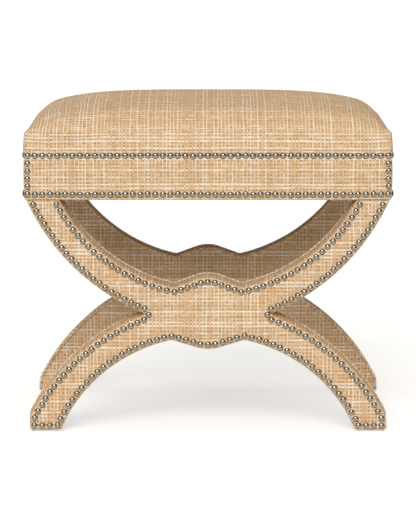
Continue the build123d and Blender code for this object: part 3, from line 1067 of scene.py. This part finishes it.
def make_stretcher_sleeve():
    """Padded sleeve round the stretcher between the two frames."""
    low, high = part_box("stretcher_cover")
    length = high.y - low.y
    bm = box_block(low, high)
    long_edges = [e for e in bm.edges if abs(e.verts[0].co.y - e.verts[1].co.y) > 0.5 * length]
    roll_edges(bm, long_edges, sleeve_roll, 5)
    slice_across(bm, 1, steps(low.y, high.y, sleeve_row))
    slice_across(bm, 0, steps(low.x + sleeve_roll, high.x - sleeve_roll, sleeve_cell))
    slice_across(bm, 2, steps(low.z + sleeve_roll, high.z - sleeve_roll, sleeve_cell))
    bm.normal_update()
    for vert in bm.verts:
        t = 2 * vert.co.y / length
        flat = Vector((vert.normal.x, 0, vert.normal.z))
        ease = (1 - t ** 8) * (0.7 + 0.5 * noise.noise(vert.co * 18))
        vert.co += flat * (sleeve_swell * ease)
    map_weave(bm, lambda face, vert: (
        (vert.co.x if abs(face.normal.z) > abs(face.normal.x) else vert.co.z), vert.co.y
    ))
    piece = finish_piece(
        "stretcher_sleeve", bm, cloth, ["stretcher_cover", "stretcher_wadding"]
    )


# Nails


def nail_dome():
    """One nail head, its base on the ground plane and its dome up: rim, shoulder and crown."""
    bm = bmesh.new()
    profile = [(nail_radius, -nail_sink), (nail_radius, nail_rim)]
    for degrees in (24, 44, 66):
        turn = math.radians(degrees)
        level = nail_rim + (nail_height - nail_rim) * math.sin(turn)
        profile.append((nail_radius * math.cos(turn), level))
    profile.append((0, nail_height))
    verts = [bm.verts.new((r, 0, z)) for r, z in profile]
    edges = [bm.edges.new(pair) for pair in zip(verts, verts[1:])]
    bmesh.ops.spin(
        bm, geom=verts + edges, cent=(0, 0, 0), axis=(0, 0, 1), angle=math.tau,
        steps=12, use_merge=True, use_normal_flip=False,
    )
    bmesh.ops.remove_doubles(bm, verts=bm.verts[:], dist=weld)
    bmesh.ops.contextual_create(bm, geom=[edge for edge in bm.edges if edge.is_boundary])
    bmesh.ops.recalc_face_normals(bm, faces=bm.faces[:])
    dome = bm.verts.layers.float.new("dome")
    for vert in bm.verts:
        vert[dome] = max(0, vert.co.z) / nail_height
    return mesh_from("nail_dome", bm)


def nail_tips(node, axis, place, wanted):
    """Where a node's nails are driven: the points of their shanks in one plane."""
    found = set()
    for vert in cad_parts[node].data.vertices:
        if abs(vert.co[axis] - place) < 2 * slack and wanted(vert.co):
            found.add(tuple(round(c, 5) for c in vert.co))
    return [Vector(point) for point in sorted(found)]


def make_nails(name, node, rows):
    """A node's nails as domed heads, each set by hand: a little off line, tilted and turned."""
    bm = bmesh.new()
    for axis, tip, face, wanted in rows:
        outward = Vector((0, 0, 0))
        outward[axis] = math.copysign(1, face)
        stand = outward.to_track_quat("Z", "Y").to_matrix().to_4x4()
        for point in nail_tips(node, axis, tip, wanted):
            point[axis] = face
            slide = Vector([random.gauss(0, nail_slip) for _ in range(3)])
            slide[axis] = 0
            lean = Matrix.Rotation(random.gauss(0, nail_lean), 4, "X")
            lean = lean @ Matrix.Rotation(random.gauss(0, nail_lean), 4, "Y")
            turn = Matrix.Rotation(random.uniform(0, math.tau), 4, "Z")
            before = len(bm.verts)
            bm.from_mesh(nail_head)
            bm.verts.ensure_lookup_table()
            matrix = Matrix.Translation(point + slide) @ stand @ lean @ turn
            bmesh.ops.transform(bm, matrix=matrix, verts=bm.verts[before:])
    finish_piece(name, bm, nail_metal, [node])


def every_point(point):
    return True


def frame_row(name, side):
    """The nail row on the outer face of a frame."""
    nail_low, nail_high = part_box(f"{name}_nails")
    cover_low, cover_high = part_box(f"{name}_outer_cover")
    if side < 0:
        return 1, nail_high.y, cover_low.y, every_point
    return 1, nail_low.y, cover_high.y, every_point


def band_rows(axis, wanted):
    """Rows on the two sides of the band that lie across an axis."""
    band_low, band_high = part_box("seat_band_cover")
    return [
        (axis, face - math.copysign(nail_shank, face), face, wanted)
        for face in (band_low[axis], band_high[axis])
    ]


def seat_rows(node):
    """Rows of a seat nail node: on the front, back, left and right."""
    level = row_level(node)

    def in_row(point):
        return abs(point.z - level) < 2 * slack

    return band_rows(1, in_row) + band_rows(0, in_row)


make_seat_pad()
make_seat_band()
make_dust_cover()
make_stretcher_sleeve()
for frame_name, frame_side in crossed_frames.items():
    make_frame(frame_name, frame_side)

nail_head = nail_dome()
for frame_name, frame_side in crossed_frames.items():
    frame_rows = [frame_row(frame_name, frame_side)]
    make_nails(f"{frame_name}_nail_heads", f"{frame_name}_nails", frame_rows)
for row_name in ("top", "bottom"):
    seat_node = f"seat_{row_name}_nails"
    make_nails(f"seat_{row_name}_nail_heads", seat_node, seat_rows(seat_node))
make_nails("seat_corner_nail_heads", "seat_corner_nails", band_rows(1, every_point))

# Finishes of the parts that stay as they are

finishes = {
    "rail": hardwood, "blocks": hardwood, "dowels": hardwood, "bar": hardwood,
    "deck": plywood, "layer": plywood,
    "screws": zinc, "bolts": zinc, "washers": zinc, "glides": nylon,
}
for node_name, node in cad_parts.items():
    if node.hide_render:
        continue
    material = finishes[node_name.split("_")[-1]]
    node.data.materials.clear()
    node.data.materials.append(material)

# Floor, light and camera


def make_floor():
    """Pale floor that shows as white and keeps the stool's shadow."""
    material, start, shader = new_material("pale_floor")
    camera_ray = start.node("LightPath", out="Is Camera Ray")
    seen = start.math("MAXIMUM", camera_ray, camera_ray.other("Is Glossy Ray"))
    seen = start.math("MAXIMUM", seen, camera_ray.other("Is Transmission Ray"))
    glow = dict(enumerate(level * seen for level in floor_glow))
    fill_sockets(shader, {
        "Base Color": (*floor_colour, 1),
        "Roughness": 0.9,
        "Specular IOR Level": 0.1,
        "Emission Color": start.node("CombineColor", None, glow),
        "Emission Strength": 1.0,
    })
    bm = bmesh.new()
    bmesh.ops.create_grid(bm, x_segments=1, y_segments=1, size=floor_reach)
    mesh = mesh_from("floor", bm)
    mesh.materials.append(material)
    floor = put_in_scene("floor", mesh)


def make_studio():
    """Dim soft room light, one broad lamp in front and one overhead."""
    world = bpy.data.worlds.new("studio")
    bpy.context.scene.world = world
    world.use_nodes = True
    start = Shade(world.node_tree)
    place = start.node("TexCoord", out="Generated")
    height = start.node("SeparateXYZ", None, {0: place}, out=2)
    fill_sockets(world.node_tree.nodes["Background"], {
        "Color": (*room_tone, 1),
        "Strength": room_light - (room_light - ceiling_light) * height.between(0.25, 0.75),
    })
    for name, (strength, tone, spread, elevation, bearing) in lamps.items():
        lamp = bpy.data.lights.new(name, "SUN")
        lamp.energy = strength
        lamp.color = tone
        lamp.angle = math.radians(spread)
        holder = put_in_scene(name, lamp)
        holder.rotation_euler = (math.radians(90 - elevation), 0, math.radians(bearing))


def make_camera():
    """The view of the picture, from the front and a little above."""
    camera = bpy.data.cameras.new("camera")
    camera.sensor_width = sensor_width
    camera.lens = focal_length / picture_height * sensor_width
    view = put_in_scene("camera", camera)
    view.location = camera_place
    view.rotation_euler = (math.radians(90 - camera_dip), 0, 0)
    bpy.context.scene.camera = view


make_floor()
make_studio()
make_camera()
bpy.context.scene.view_settings.view_transform = "Standard"
